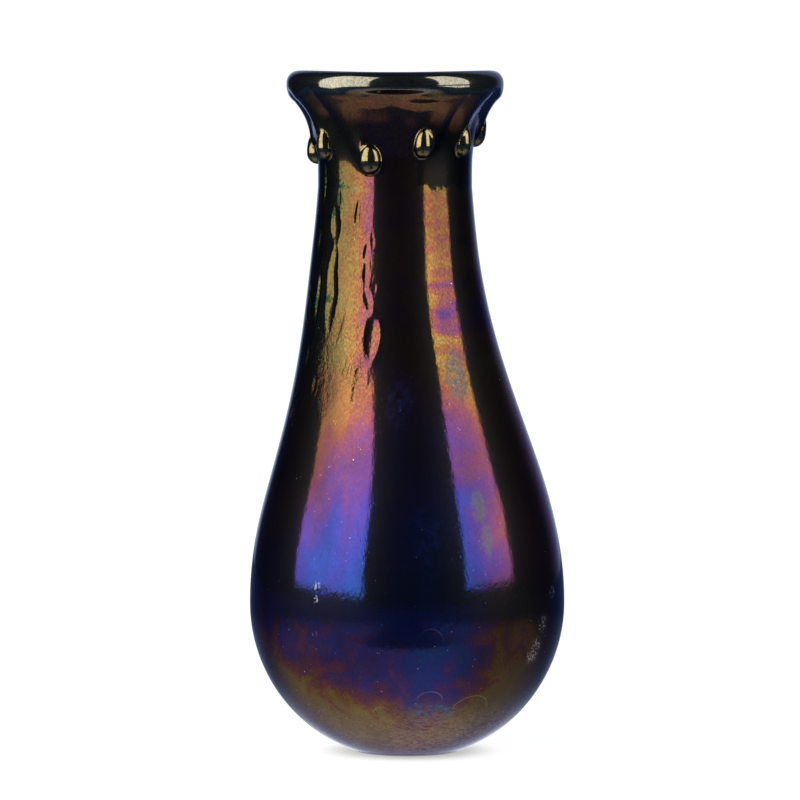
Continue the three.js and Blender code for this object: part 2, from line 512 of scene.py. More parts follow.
class Hand:
    """The unevenness of hand work: the pits and folds of the neck, and a faint waviness all over.

    The ranges give the least and the most of each of a flaw's fields, in their order. Those of a wave are its
    waves round the vase, its radians to a millimetre up, its phase and its height in millimetres.
    """

    SHOWN = (
        Flaw(-46.5, 232.8, 2.5, 7.8, 0.55, 0.14),
        Flaw(-45.5, 204.5, 3.2, 18.5, 0.75, 0.16),
        Flaw(-59.5, 201.5, 1.7, 12.5, 0.60, 0.20),
        Flaw(-27.5, 237.0, 1.5, 8.4, 0.50, 0.12, 0.03),
        Flaw(-20.0, 221.5, 1.2, 4.6, 0.35, 0.10, 0.10),
        Flaw(-19.6, 211.0, 1.5, 5.6, 0.40, 0.12, -0.05),
        Flaw(-18.6, 200.0, 1.5, 5.4, 0.40, 0.12, -0.16),
        Flaw(-16.0, 184.2, 3.1, 8.8, 0.60, 0.16),
        Flaw(-37.0, 189.0, 1.3, 10.0, 0.35, 0.10, 0.26),
        Flaw(-33.0, 171.0, 1.2, 5.0, 0.36, 0.10, 0.45),
        Flaw(-22.8, 167.0, 2.9, 5.2, 0.45, 0.12),
        Flaw(-29.0, 168.5, 1.6, 4.8, 0.30, 0.10),
        Flaw(-25.9, 159.0, 1.1, 11.0, 0.38, 0.10),
        Flaw(-28.6, 151.5, 0.9, 6.2, 0.22, 0.06),
        Flaw(-63.7, 175.4, 2.1, 5.6, 0.60, 0.22),
        Flaw(-62.4, 250.0, 1.1, 11.5, 0.55, 0.18),
        Flaw(-66.0, 226.0, 1.2, 7.5, 0.50, 0.18),
        Flaw(-53.0, 163.0, 1.2, 5.5, 0.45, 0.16),
        Flaw(-70.0, 150.0, 1.5, 8.0, 0.55, 0.20),
        Flaw(-72.0, 196.0, 1.3, 9.0, 0.55, 0.20),
    )
    SEED = 11
    SMALL = 46
    SMALL_RANGES = ((-72, -12), (146, 246), (0.7, 1.3), (1.2, 4.2), (0.08, 0.2), (0.03, 0.07), (-0.15, 0.15))
    BACK = 16
    BACK_RANGES = ((110, 250), (120, 240), (1.0, 2.4), (2.5, 11), (0.12, 0.4), (0.05, 0.1), (-0.1, 0.1))
    WAVES = 9
    WAVE_RANGES = ((2, 9), (0.02, 0.09), (0, 6.28), (0.012, 0.03))
    WAVY = (4.0, 30.0)  # heights between which the waviness sets in, in millimetres
    REACH = 1.9  # how far up and down a flaw is drawn, in half heights

    def __init__(self) -> None:
        """Draw the smaller flaws round the shown ones, a few on the back, and the waves."""
        pick = np.random.default_rng(self.SEED)
        self.flaws = list(self.SHOWN)
        for count, ranges in ((self.SMALL, self.SMALL_RANGES), (self.BACK, self.BACK_RANGES)):
            self.flaws += [Flaw(*(pick.uniform(*ends) for ends in ranges)) for _ in range(count)]
        around, *others = self.WAVE_RANGES
        self.waves = [
            (pick.integers(*around), *(pick.uniform(*ends) for ends in others)) for _ in range(self.WAVES)
        ]

    def relief(self, turn: np.ndarray, height: np.ndarray, radius: np.ndarray) -> np.ndarray:
        """Add up the flaws and the waviness over the grid.

        Args:
            turn: Turns in degrees.
            height: Heights in millimetres.
            radius: Radius of the glass at each row, in millimetres.

        Returns:
            The radial shift in millimetres.
        """
        stand = np.zeros_like(turn)
        for around, along, phase, size in self.waves:
            stand += size * np.sin(np.radians(turn) * around + height * along + phase)
        stand *= smooth(height, *self.WAVY)
        for flaw in self.flaws:
            away = np.abs(height[:, 0] - flaw.height)
            here, row = away < flaw.half_height * self.REACH, np.argmin(away)
            stand[here] += flaw.stand(turn[here], height[here], radius[row, 0])
        return stand


@dataclass
class Vase:
    """The whole vase as one closed mesh.

    Attributes:
        outline: The turned form.
        collar: The pulled collar.
        hand: The unevenness of hand work.
        columns: How many columns of faces go round.
        lean: How far the neck leans to the left, in millimetres.
        lean_from: Height where it starts to lean, in millimetres.
        lean_to: Height where it runs straight again, in millimetres.
        lip_dip: How far the lip sinks at the front and the back, in millimetres.
        lip_skew: How far the lip is out of round, as a share of its radius.
        skew_heights: Heights between which that sets in, in millimetres.
        drop_room: How far below the neck's narrowest point a drop may move the glass, in millimetres.
        gilt_fade: Where the drops' gilt finish starts to fade and where it ends, in half widths of a bead.
        bead_sink: How far a bead's top sinks back into its ridge, in millimetres.
        sink_heights: Heights between which it does, in millimetres.
        blend: How softly a bead runs into the glass round it, in square millimetres.
    """

    outline: Outline = field(default_factory=Outline)
    collar: Collar = field(default_factory=Collar)
    hand: Hand = field(default_factory=Hand)
    columns: int = 360
    lean: float = 5.3
    lean_from: float = 110.0
    lean_to: float = 225.0
    lip_dip: float = 1.4
    lip_skew: float = 0.02
    skew_heights: Pair = (272.0, 290.0)
    drop_room: float = 3.5
    gilt_fade: Pair = (1.04, 1.17)
    bead_sink: float = 1.2
    sink_heights: Pair = (262.0, 280.0)
    blend: float = 0.12

    def shape(self) -> tuple[np.ndarray, list[Zone], np.ndarray]:
        """Place every vertex of the grid.

        Returns:
            The grid's points in metres, as rows by columns by three; the zone above each row; and how much of
            the drops' gilt finish each point has, from 0 to 1.
        """
        points, zones, pulled = self.outline.rows()
        turns = np.linspace(-180.0, 180.0, self.columns, endpoint=False)
        turn = np.repeat(turns[None, :], len(points), axis=0)
        height = np.repeat(points[:, 1:], self.columns, axis=1)
        radius = np.repeat(points[:, :1], self.columns, axis=1)
        flare = self.outline.flare()
        low, high = self.outline.neck_height - self.drop_room, self.outline.flare_top
        free = pulled[:, None] & (height > low) & (height < high)
        new_turn, new_height = turn.copy(), height.copy()
        bead_stand, gilded = np.zeros_like(turn), np.zeros_like(turn)
        on_bead = np.zeros(turn.shape, dtype=bool)
        full, gone = self.gilt_fade
        for drop in self.collar.drops:
            side, up, stand, share = self.collar.bead(drop, turn, height)
            moved = free & ((np.abs(wrap(side - turn)) > 1e-9) | (share < 1.0))
            new_turn[moved] = side[moved]
            new_height[moved] = np.clip(up[moved], low, high)
            covered = moved & (share < 1.0)
            bead_stand[covered] = stand[covered]
            on_bead |= covered
            gilded = np.maximum(gilded, np.where(free, smooth(-share, -gone, -full), 0.0))
        profile = np.interp(new_height, flare[:, 1], flare[:, 0]) - np.interp(height, flare[:, 1], flare[:, 0])
        base = radius + np.where(free, profile, 0.0)
        relief = np.where(pulled[:, None], self.collar.relief(new_turn, new_height), 0.0)
        gap = bead_stand - self.bead_sink * smooth(new_height, *self.sink_heights) - relief
        relief = relief + np.where(on_bead, 0.5 * (gap + np.sqrt(gap * gap + self.blend)), 0.0)
        relief = relief + np.where(pulled[:, None], self.hand.relief(new_turn, new_height, radius), 0.0)
        angle = np.radians(new_turn)
        skew = self.lip_skew * np.sin(2 * angle) * smooth(new_height, *self.skew_heights)
        out = (base + relief) * (1.0 + skew)
        shift = -self.lean * smooth(new_height, self.lean_from, self.lean_to)
        dip = self.lip_dip * np.cos(angle) ** 2 * smooth(new_height, self.outline.neck_height, self.outline.height)
        grid = np.stack([out * np.sin(angle) + shift, -out * np.cos(angle), new_height - dip], axis=2)
        return grid * MM, zones, gilded

    def build(self) -> bpy.types.Object:
        """Make the closed mesh, with a material slot for each zone still empty.

        Returns:
            The vase's object, linked to the scene.
        """
        grid, zones, gilded = self.shape()
        rows, columns = grid.shape[:2]
        bottom = (0.0, 0.0, self.outline.pontil_depth * MM)
        inside = (0.0, 0.0, self.outline.base_thickness * MM)
        vertices = [bottom, *map(tuple, grid.reshape(-1, 3)), inside]
        last = len(vertices) - 1
        faces: list[tuple[int, ...]] = []
        slots: list[int] = []
        for column in range(columns):
            after = (column + 1) % columns
            faces.append((0, 1 + after, 1 + column))
            slots.append(Zone.FOOT.value)
            top = 1 + (rows - 1) * columns
            faces.append((top + column, top + after, last))
            slots.append(Zone.INSIDE.value)
        for row in range(rows - 1):
            start = 1 + row * columns
            for column in range(columns):
                after = (column + 1) % columns
                faces.append((start + column, start + after, start + columns + after, start + columns + column))
            slots += [zones[row].value] * columns
        mesh = bpy.data.meshes.new("vase_glass")
        mesh.from_pydata(vertices, [], faces)
        mesh.polygons.foreach_set("material_index", slots)
        bead = mesh.attributes.new("bead", "FLOAT", "POINT")
        bead.data.foreach_set("value", np.concatenate([[0.0], gilded.ravel(), [0.0]]).astype(np.float32))
        self._settle(mesh)
        made = bpy.data.objects.new("vase_glass", mesh)
        bpy.context.scene.collection.objects.link(made)
        return made

    @staticmethod
    def _settle(mesh: bpy.types.Mesh) -> None:
        """Turn every face outward and shade the mesh smooth.

        Args:
            mesh: The mesh to settle.
        """
        work = bmesh.new()
        work.from_mesh(mesh)
        bmesh.ops.recalc_face_normals(work, faces=work.faces)
        work.to_mesh(mesh)
        work.free()
        mesh.polygons.foreach_set("use_smooth", [True] * len(mesh.polygons))
        mesh.update()

    def dress(self, made: bpy.types.Object) -> None:
        """Give each zone its finish and tie the vase to the frame.

        Args:
            made: The vase's object.
        """
        finishes = {Zone.OUTSIDE: Lustre(), Zone.INSIDE: DarkGlass(), Zone.FOOT: GroundGlass()}
        for zone in Zone:
            made.data.materials.append(finishes[zone].material())
        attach(made, "root")
        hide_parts("vase")


class Wire:
    """A number in a node tree, to be reckoned with like any other number."""

    def __init__(self, graph: "Graph", socket: Socket) -> None:
        """Keep the graph and the socket that puts the number out."""
        self.graph = graph
        self.socket = socket

    def __add__(self, other: "Wire | float") -> "Wire":
        """Add a number."""
        return self.graph.math("ADD", self, other)

    def __sub__(self, other: "Wire | float") -> "Wire":
        """Take a number away."""
        return self.graph.math("SUBTRACT", self, other)

    def __rsub__(self, other: float) -> "Wire":
        """Take this number away from another."""
        return self.graph.math("SUBTRACT", other, self)

    def __mul__(self, other: "Wire | float") -> "Wire":
        """Multiply by a number."""
        return self.graph.math("MULTIPLY", self, other)

    def __truediv__(self, other: "Wire | float") -> "Wire":
        """Divide by a number."""
        return self.graph.math("DIVIDE", self, other)

    def __abs__(self) -> "Wire":
        """Drop the sign."""
        return self.graph.math("ABSOLUTE", self)

    def most(self, other: "Wire | float") -> "Wire":
        """Take the greater of two numbers."""
        return self.graph.math("MAXIMUM", self, other)

    def over(self, level: float) -> "Wire":
        """Give 1 above a level and 0 below it."""
        return self.graph.math("GREATER_THAN", self, level)

    def span(self, low: float, high: float, start: float = 0.0, end: float = 1.0) -> "Wire":
        """Ease from one result to another as this number rises.

        Args:
            low: Where the result starts to change.
            high: Where it stops.
            start: The result up to low.
            end: The result from high on.

        Returns:
            The eased number.
        """
        inputs = {"Value": self, "From Min": low, "From Max": high, "To Min": start, "To Max": end}
        node = self.graph.add("ShaderNodeMapRange", inputs, interpolation_type="SMOOTHSTEP")
        return Wire(self.graph, node.outputs["Result"])


class Graph:
    """A short way to write down a node tree."""

    def __init__(self, tree: bpy.types.NodeTree) -> None:
        """Keep the tree that the nodes go into."""
        self.tree = tree

    def feed(self, node: bpy.types.Node, inputs: dict[str | int, object]) -> None:
        """Link or set some of a node's inputs.

        Args:
            node: The node.
            inputs: What each named or numbered input gets: a wire or a socket to link, or a value.
        """
        for key, value in inputs.items():
            value = value.socket if isinstance(value, Wire) else value
            if isinstance(value, Socket):
                self.tree.links.new(value, node.inputs[key])
            else:
                node.inputs[key].default_value = value

    def add(self, kind: str, inputs: dict[str | int, object] | None = None, **settings: object) -> bpy.types.Node:
        """Add one node.

        Args:
            kind: The node's Blender type name.
            inputs: What its inputs get, as for feed.
            **settings: The node's own settings.

        Returns:
            The new node.
        """
        node = self.tree.nodes.new(kind)
        for name, value in settings.items():
            setattr(node, name, value)
        self.feed(node, inputs or {})
        return node

    def math(self, operation: str, *values: Wire | float, clamp: bool = False) -> Wire:
        """Add a Math node.

        Args:
            operation: What it does.
            *values: Its inputs.
            clamp: Whether the result is kept between 0 and 1.

        Returns:
            Its result.
        """
        node = self.add("ShaderNodeMath", dict(enumerate(values)), operation=operation, use_clamp=clamp)
        return Wire(self, node.outputs[0])

    def parts(self, place: Socket) -> list[Wire]:
        """Take a place apart into its three coordinates."""
        return [Wire(self, part) for part in self.add("ShaderNodeSeparateXYZ", {0: place}).outputs]

    def scaled(self, place: Socket, by: Triple) -> Socket:
        """Stretch a place along the axes."""
        return self.add("ShaderNodeVectorMath", {0: place, 1: by}, operation="MULTIPLY").outputs[0]

    def distance(self, place: Socket, point: Triple = (0.0, 0.0, 0.0)) -> Wire:
        """Measure how far a place is from a point."""
        node = self.add("ShaderNodeVectorMath", {0: place, 1: point}, operation="DISTANCE")
        return Wire(self, node.outputs["Value"])

    def spots(self, place: Socket, spots: Spots, core: float, squash: float = 1.0) -> Wire:
        """Mark soft round spots, or tall or flat ones.

        Args:
            place: Where to read the mark, in metres.
            spots: The place of each one's middle and its radius, in metres.
            core: Share of the radius that is marked in full.
            squash: Weight of the height: below 1 for tall spots, above 1 for flat ones.

        Returns:
            The mark, 1 in the middle of a spot and 0 outside.
        """
        squashed = self.scaled(place, (1.0, 1.0, squash))
        found = None
        for x, y, z, radius in spots:
            spot = self.distance(squashed, (x, y, z * squash)).span(core * radius, radius, 1.0, 0.0)
            found = spot if found is None else found.most(spot)
        return found

    def cells(self, place: Socket, scale: float) -> tuple[Wire, list[Wire]]:
        """Scatter points with a Voronoi texture.

        Args:
            place: Where to read it, in metres.
            scale: How many points there are to a metre.

        Returns:
            The distance to the nearest point, and three random numbers that belong to it.
        """
        node = self.add("ShaderNodeTexVoronoi", {"Vector": place, "Scale": scale, "Randomness": 1.0})
        luck = self.add("ShaderNodeSeparateColor", {0: node.outputs["Color"]}).outputs
        return Wire(self, node.outputs["Distance"]), [Wire(self, part) for part in luck]

    def noise(
        self, place: Socket, scale: float, stretch: float = 1.0, detail: float = 2.0,
        rough: float = 0.5, warp: float = 0.0,
    ) -> Wire:
        """Add a noise, drawn out along the vase if asked.

        Args:
            place: Where to read it, in metres.
            scale: How many features there are to a metre.
            stretch: How much longer they are upward than across.
            detail: How many finer layers it has.
            rough: How strong those layers are.
            warp: How much it is bent by itself.

        Returns:
            A number about 0.5.
        """
        drawn = self.scaled(place, (1.0, 1.0, 1.0 / stretch))
        inputs = {"Vector": drawn, "Scale": scale, "Detail": detail, "Roughness": rough, "Distortion": warp}
        return Wire(self, self.add("ShaderNodeTexNoise", inputs).outputs["Fac"])

    def ramp(self, share: Wire, stops: tuple[tuple[float, Triple], ...]) -> Socket:
        """Add a Color Ramp.

        Args:
            share: Where to read the ramp.
            stops: Each stop's place and its colour.

        Returns:
            The colour.
        """
        node = self.add("ShaderNodeValToRGB", {0: share})
        elements = node.color_ramp.elements
        while len(elements) < len(stops):
            elements.new(0.5)
        for element, (place, colour) in zip(elements, stops):
            element.position = place
            element.color = (*colour, 1.0)
        return node.outputs["Color"]

    def curve(self, share: Wire, stops: tuple[tuple[float, float], ...]) -> Wire:
        """Look a number up in a table of places and values."""
        return Wire(self, self.ramp(share, tuple((place, (value,) * 3) for place, value in stops)))

    def grey(self, value: Wire) -> Socket:
        """Make a grey of a number."""
        return self.add("ShaderNodeCombineColor", {0: value, 1: value, 2: value}).outputs[0]

    def mix(self, share: Wire | float, first: object, second: object, blend: str = "MIX") -> Socket:
        """Mix two colours.

        Args:
            share: How much of the second one.
            first: The first colour, a socket or three numbers.
            second: The second colour.
            blend: How they mix.

        Returns:
            The colour.
        """
        colours = [(*colour, 1.0) if isinstance(colour, tuple) else colour for colour in (first, second)]
        inputs = {0: share, 6: colours[0], 7: colours[1]}
        return self.add("ShaderNodeMix", inputs, data_type="RGBA", blend_type=blend).outputs[2]


class Effect:
    """A shader node group that several finishes share.

    Subclasses name the group, list its inputs and outputs, and draw its nodes.
    """

    NAME = ""
    INPUTS: dict[str, float] = {}
    OUTPUTS: dict[str, str] = {}

    @classmethod
    def group(cls) -> bpy.types.NodeTree:
        """Find the group, or build it the first time.

        Returns:
            The node group.
        """
        if cls.NAME in bpy.data.node_groups:
            return bpy.data.node_groups[cls.NAME]
        tree = bpy.data.node_groups.new(cls.NAME, "ShaderNodeTree")
        tree.interface.new_socket("Place", in_out="INPUT", socket_type="NodeSocketVector")
        for name, value in cls.INPUTS.items():
            socket = tree.interface.new_socket(name, in_out="INPUT", socket_type="NodeSocketFloat")
            socket.default_value = value
        for name, kind in cls.OUTPUTS.items():
            tree.interface.new_socket(name, in_out="OUTPUT", socket_type=kind)
        graph = Graph(tree)
        given = graph.add("NodeGroupInput").outputs
        amounts = {name: Wire(graph, given[name]) for name in cls.INPUTS}
        graph.add("NodeGroupOutput", cls.draw(graph, given["Place"], amounts))
        return tree

    @classmethod
    def place(cls, graph: Graph, place: Socket, **amounts: float) -> dict[str, object]:
        """Use the group in a material.

        Args:
            graph: The material's graph.
            place: Where to read the effect.
            **amounts: The group's inputs by name.

        Returns:
            The group's outputs by name: numbers as wires, colours as sockets.
        """
        made = graph.add("ShaderNodeGroup", {"Place": place, **amounts}, node_tree=cls.group())
        return {out.name: Wire(graph, out) if out.type == "VALUE" else out for out in made.outputs}

    @classmethod
    def draw(cls, graph: Graph, place: Socket, amounts: dict[str, Wire]) -> dict[str, object]:
        """Draw the group's nodes.

        Args:
            graph: The group's graph.
            place: Where the effect is read, in metres.
            amounts: The group's other inputs by name.

        Returns:
            What each of the group's outputs gets.
        """
        raise NotImplementedError


class Film(Effect):
    """The colours of the thin metal lustre, from its thickness over the glass.

    Heights are shares of the vase's height here, and sides run from -1 at the left to 1 at the right. The tables
    give the film's thickness, from 0 to 1: up the body, its least value up the body, and round the neck. The bands
    are thicker rings at the neck's right, with the height and half width in metres and the added thickness.
    """

    NAME = "Lustre film"
    INPUTS = {"Swirl": 0.2, "Grain": 0.08}
    OUTPUTS = {"Colour": "NodeSocketColor"}
    FULL_HEIGHT = 0.3
    BODY = (
        (0.0, 0.14), (0.04, 0.18), (0.06, 0.30), (0.085, 0.47), (0.12, 0.59), (0.20, 0.67), (0.29, 0.76),
        (0.36, 0.67), (0.43, 0.55), (0.49, 0.46), (0.52, 0.37), (0.55, 0.29), (0.62, 0.23), (0.85, 0.16),
        (1.0, 0.14),
    )
    LEAST = (
        (0.0, 0.09), (0.10, 0.11), (0.20, 0.17), (0.30, 0.29), (0.40, 0.27), (0.50, 0.20), (0.56, 0.18),
        (0.60, 0.0), (0.865, 0.0), (0.885, 0.12), (1.0, 0.12),
    )
    NECK = (
        (0.0, 0.10), (0.05, 0.02), (0.10, 0.045), (0.13, 0.095), (0.22, 0.15), (0.275, 0.26), (0.36, 0.28),
        (0.54, 0.24), (0.62, 0.15), (0.80, 0.17), (0.90, 0.15), (1.0, 0.12),
    )
    BANDS = ((0.2260, 0.0035, 0.14), (0.2100, 0.0045, 0.26), (0.1930, 0.0070, 0.48))
    BAND_SWING = 0.012
    COLOURS = (
        (0.00, (0.006, 0.018, 0.005)),
        (0.035, (0.020, 0.036, 0.008)),
        (0.08, (0.112, 0.082, 0.020)),
        (0.15, (0.118, 0.062, 0.014)),
        (0.21, (0.110, 0.040, 0.013)),
        (0.27, (0.092, 0.025, 0.022)),
        (0.36, (0.066, 0.017, 0.042)),
        (0.48, (0.034, 0.013, 0.072)),
        (0.60, (0.014, 0.015, 0.100)),
        (0.72, (0.008, 0.021, 0.108)),
        (0.85, (0.008, 0.028, 0.098)),
        (1.00, (0.006, 0.050, 0.070)),
    )
    # Painted shade: a near-black band on the neck's right; the height of its lower edge in metres, and how far
    # that edge is torn.
    PAINTED_SHADE_EDGE = (0.2485, 0.2500)
    PAINTED_SHADE_TEAR = 0.014

    @classmethod
    def draw(cls, graph: Graph, place: Socket, amounts: dict[str, Wire]) -> dict[str, object]:
        """Draw the film: thick at the belly's front and back, thin at the neck and round the sides, and swirled.

        Args:
            graph: The group's graph.
            place: Where the film is read, in metres.
            amounts: The group's other inputs by name.

        Returns:
            What each of the group's outputs gets.
        """
        x, y, z = graph.parts(place)
        height = z / cls.FULL_HEIGHT
        reach = graph.distance(graph.scaled(place, (1.0, 1.0, 0.0))).most(0.001)
        side = x / reach
        upper = height.span(0.53, 0.60)
        swirl = graph.noise(place, 26.0, 1.4, 3.0, 0.55, 1.0)

        # The even film: up the body, thinner round the sides and lower to the left and right, and round the neck.
        thinner = (1.0 - abs(y / reach)) * height.span(0.26, 0.50, 0.62, 1.15)
        thinner = thinner + side.span(0.36, 0.66) * height.span(0.2, 0.50, 0.32, -0.04)
        sunk = abs(side - 0.1) * height.span(0.1, 0.3, 0.070, 0.0)
        body = graph.curve(height - sunk, cls.BODY) - thinner
        neck = graph.curve(side * 0.5 + 0.5, cls.NECK)
        even = body * (1.0 - upper) + neck * upper

        # The swirls: broad ones, narrow ones across the neck, blots above the foot and the neck's bands.
        broad = (swirl - 0.5) * height.span(0.50, 0.58, 1.3, 0.35)
        narrow = (graph.noise(place, 46.0, 0.5, 1.0, 0.5, 0.7) - 0.45) * (upper * side.span(0.1, 0.4, 0.5, 1.25))
        blots = (graph.noise(place, 75.0, 1.0, 5.0, 0.62, 0.9) - 0.5) * height.span(0.17, 0.30, 1.9, 0.0)
        for level, half, more in cls.BANDS:
            off = abs(z + (swirl - 0.5) * cls.BAND_SWING - level)
            narrow = narrow + off.span(half * 0.5, half * 1.3, more, 0.0) * side.span(0.2, 0.4)
        swirled = (broad + narrow + blots) * amounts["Swirl"]

        # The grain, coarser on the neck and above the foot.
        coarse = height.span(0.46, 0.60, 0.8, 2.0) + height.span(0.16, 0.27, 1.6, 0.0)
        grain = (graph.noise(place, 1150.0, 1.7, 2.0, 0.65) - 0.5) * (amounts["Grain"] * coarse)

        # The film is nowhere thinner than this, least of all at the far left and the back.
        least = graph.curve(height, cls.LEAST).most(side.span(-0.62, -0.50, 0.0, 0.10))
        least = least.most(y.span(-0.005, 0.01, 0.0, 0.12))
        thickness = graph.math("ADD", even + swirled, grain, clamp=True).most(least + grain * 0.6)
        colour = graph.ramp(thickness, cls.COLOURS)
        # Painted shade: the film's colour is darkened by side and height.
        bright = graph.grey(cls.brightness(graph, place, side, height, z))
        return {"Colour": graph.mix(1.0, colour, bright, "MULTIPLY")}

    @classmethod
    def brightness(
        cls, graph: Graph, place: Socket, side: Wire, height: Wire, level: Wire
    ) -> Wire:
        """Draw the painted shade that dims the film by side and height, and darkens a band on the neck's right.

        Args:
            graph: The group's graph.
            place: Where the film is read, in metres.
            side: How far to the right that is.
            height: How far up that is, as a share.
            level: How far up that is, in metres.

        Returns:
            A factor, 1 where no shade is painted.
        """
        # Painted shade: dimmer at the left flank, low at the right, above the foot, at the right, up the neck's
        # right, on the collar and below the belly.
        left = side.span(-0.72, -0.42, 0.45, 1.0).most(height.span(0.33, 0.5, 0.9, 0.0))
        low_right = side.span(0.36, 0.60, 1.0, 0.50).most(height.span(0.2, 0.3))
        above_foot = 1.0 - side.span(-0.2, 0.1) * height.span(0.065, 0.10, 0.20, 0.0)
        right = side.span(0.25, 0.40, 1.0, 0.76)
        right_neck = 1.0 - side.span(0.10, 0.25) * height.span(0.66, 0.82, 0.0, 0.38)
        collar = height.span(0.8, 0.87, 1.0, 0.9)
        below_belly = height.span(0.25, 0.33, 0.8, 1.0)
        # Painted shade: the film is nearly black above a torn edge on the right of the neck.
        torn = (graph.noise(place, 230.0, 1.5, 4.0, 0.75) - 0.5) * cls.PAINTED_SHADE_TEAR
        painted_shade_band = (level + torn).span(*cls.PAINTED_SHADE_EDGE) * side.span(0.10, 0.17) * height.span(0.90, 0.925, 0.97, 0.0)
        return left * low_right * above_foot * right * right_neck * collar * below_belly * (1.0 - painted_shade_band)


class Grain(Effect):
    """The skin of hand-blown glass: a fine pull along the body, seeds, and one crackled patch on the neck."""

    NAME = "Glass skin"
    INPUTS = {"Pull": 0.5, "Seeds": 0.5}
    OUTPUTS = {"Height": "NodeSocketFloat"}
    CRACKLED = ((-0.0290, -0.0345, 0.174, 0.0190),)
    CRACKLE = 5.5
    SEEDLESS = 0.72  # share of the cells that hold no seed

    @classmethod
    def draw(cls, graph: Graph, place: Socket, amounts: dict[str, Wire]) -> dict[str, object]:
        """Draw the skin as one height.

        Args:
            graph: The group's graph.
            place: Where the skin is read, in metres.
            amounts: The group's other inputs by name.

        Returns:
            What each of the group's outputs gets.
        """
        level = graph.parts(place)[2]
        pull = graph.noise(place, 620.0, 2.4, 3.0, 0.6) * 0.75 + graph.noise(place, 130.0, 1.4, 1.0, 0.5)
        away, luck = graph.cells(place, 260.0)
        seeds = away.span(0.05, 0.16, -1.0, 0.0) * luck[0].over(cls.SEEDLESS) * amounts["Seeds"]
        rough = graph.noise(place, 540.0, 1.5, 3.0, 0.65)
        crackle = rough * graph.spots(place, cls.CRACKLED, 0.4, 0.55) * cls.CRACKLE
        above_foot = rough * level.span(0.070, 0.090, 0.8, 0.0)
        calm_lip = level.span(0.286, 0.291, 1.0, 0.4)
        return {"Height": (pull * amounts["Pull"] + seeds + (crackle + above_foot)) * calm_lip}


class Wear(Effect):
    """Specks of dust, old scuffs and curled scratches that catch the light."""

    NAME = "Specks and scuffs"
    INPUTS = {"Amount": 0.5}
    OUTPUTS = {"Mask": "NodeSocketFloat"}
    SCUFFS = (
        (0.0535, -0.0378, 0.0470, 0.0062), (0.0555, -0.0370, 0.0510, 0.0050), (0.0628, -0.0280, 0.0727, 0.0050),
        (0.0590, -0.0360, 0.0600, 0.0055), (-0.0392, -0.0572, 0.0785, 0.0027), (-0.0392, -0.0567, 0.0725, 0.0026),
        (-0.0390, -0.0550, 0.0577, 0.0027),
    )
    CURLS = (
        (0.0090, -0.0560, 0.0290, 0.0058), (-0.0100, -0.0520, 0.0235, 0.0042), (0.0260, -0.0460, 0.0245, 0.0085),
        (0.0100, -0.0690, 0.0545, 0.0060),
    )
    SCRATCH = (0.00010, 0.00026)

    @classmethod
    def draw(cls, graph: Graph, place: Socket, amounts: dict[str, Wire]) -> dict[str, object]:
        """Draw scattered specks, thicker where the glass was scuffed, and the upper halves of a few thin rings.

        Args:
            graph: The group's graph.
            place: Where the wear is read, in metres.
            amounts: The group's other inputs by name.

        Returns:
            What each of the group's outputs gets.
        """
        level = graph.parts(place)[2]
        away, luck = graph.cells(place, 520.0)
        specks = away.span(0.10, 0.22, 1.0, 0.0) * (luck[0].over(0.99) * luck[2])
        away, luck = graph.cells(place, 1100.0)
        dust = away.span(0.14, 0.30, 1.0, 0.0) * luck[0].over(0.975) * (luck[1] * level.span(0.0, 0.12, 0.9, 0.4))
        near = graph.spots(place, cls.SCUFFS, 0.3)
        ragged = (graph.noise(place, 1700.0, 2.2, 2.0, 0.6) + near * 0.07).span(0.59, 0.66)
        marks = near * ragged * 0.7
        curled = graph.noise(place, 60.0, 1.0, 1.0)
        for x, y, z, radius in cls.CURLS:
            bent = graph.distance(place, (x, y, z)) + (curled - 0.5) * (radius * 0.5)
            line = abs(bent - radius).span(*cls.SCRATCH, 1.0, 0.0)
            marks = marks.most(line * level.over(z + radius * 0.1) * curled.span(0.35, 0.6, 0.16, 0.05))
        return {"Mask": graph.math("MULTIPLY", specks.most(dust).most(marks), amounts["Amount"], clamp=True)}


class Patina(Effect):
    """Dull patches where the lustre has gone grey, and soft blooms where it is finely rubbed."""

    NAME = "Dull patches"
    INPUTS = {"Amount": 0.7}
    OUTPUTS = {"Mask": "NodeSocketFloat", "Bloom": "NodeSocketFloat"}
    PATCHES = (
        (0.0215, -0.0400, 0.167, 0.0095), (0.0305, -0.0545, 0.112, 0.0060), (0.0335, -0.0550, 0.096, 0.0060),
        (-0.0300, 0.0420, 0.150, 0.0110), (0.0420, 0.0480, 0.090, 0.0120),
    )
    BLOOMS = (
        (-0.0030, -0.0490, 0.155, 0.0110), (0.0080, -0.0660, 0.096, 0.0150), (-0.0100, 0.0520, 0.140, 0.0150),
    )
    SQUASH = 0.4

    @classmethod
    def draw(cls, graph: Graph, place: Socket, amounts: dict[str, Wire]) -> dict[str, object]:
        """Draw a few tall patches and blooms with mottled edges.

        Args:
            graph: The group's graph.
            place: Where the patina is read, in metres.
            amounts: The group's other inputs by name.

        Returns:
            What each of the group's outputs gets.
        """
        mottle = graph.noise(place, 520.0, 1.4, 4.0, 0.8)
        patches = (graph.spots(place, cls.PATCHES, 0.35, cls.SQUASH) * 0.40 + mottle).span(0.70, 0.98)
        rubbed = graph.noise(place, 300.0, 1.0, 5.0, 0.7).span(0.30, 0.66)
        blooms = graph.spots(place, cls.BLOOMS, 0.0, cls.SQUASH) * rubbed
        return {"Mask": graph.math("MULTIPLY", patches, amounts["Amount"], clamp=True), "Bloom": blooms}


def new_material(name: str) -> tuple[bpy.types.Material, Graph, bpy.types.Node, Socket]:
    """Start a material with one Principled shader.

    Args:
        name: The material's name.

    Returns:
        The material, its graph, the shader and the place on the object in metres.
    """
    material = bpy.data.materials.new(name)
    material.use_nodes = True
    graph = Graph(material.node_tree)
    shader = next(node for node in material.node_tree.nodes if node.type == "BSDF_PRINCIPLED")
    place = graph.add("ShaderNodeTexCoord").outputs["Object"]
    return material, graph, shader, place


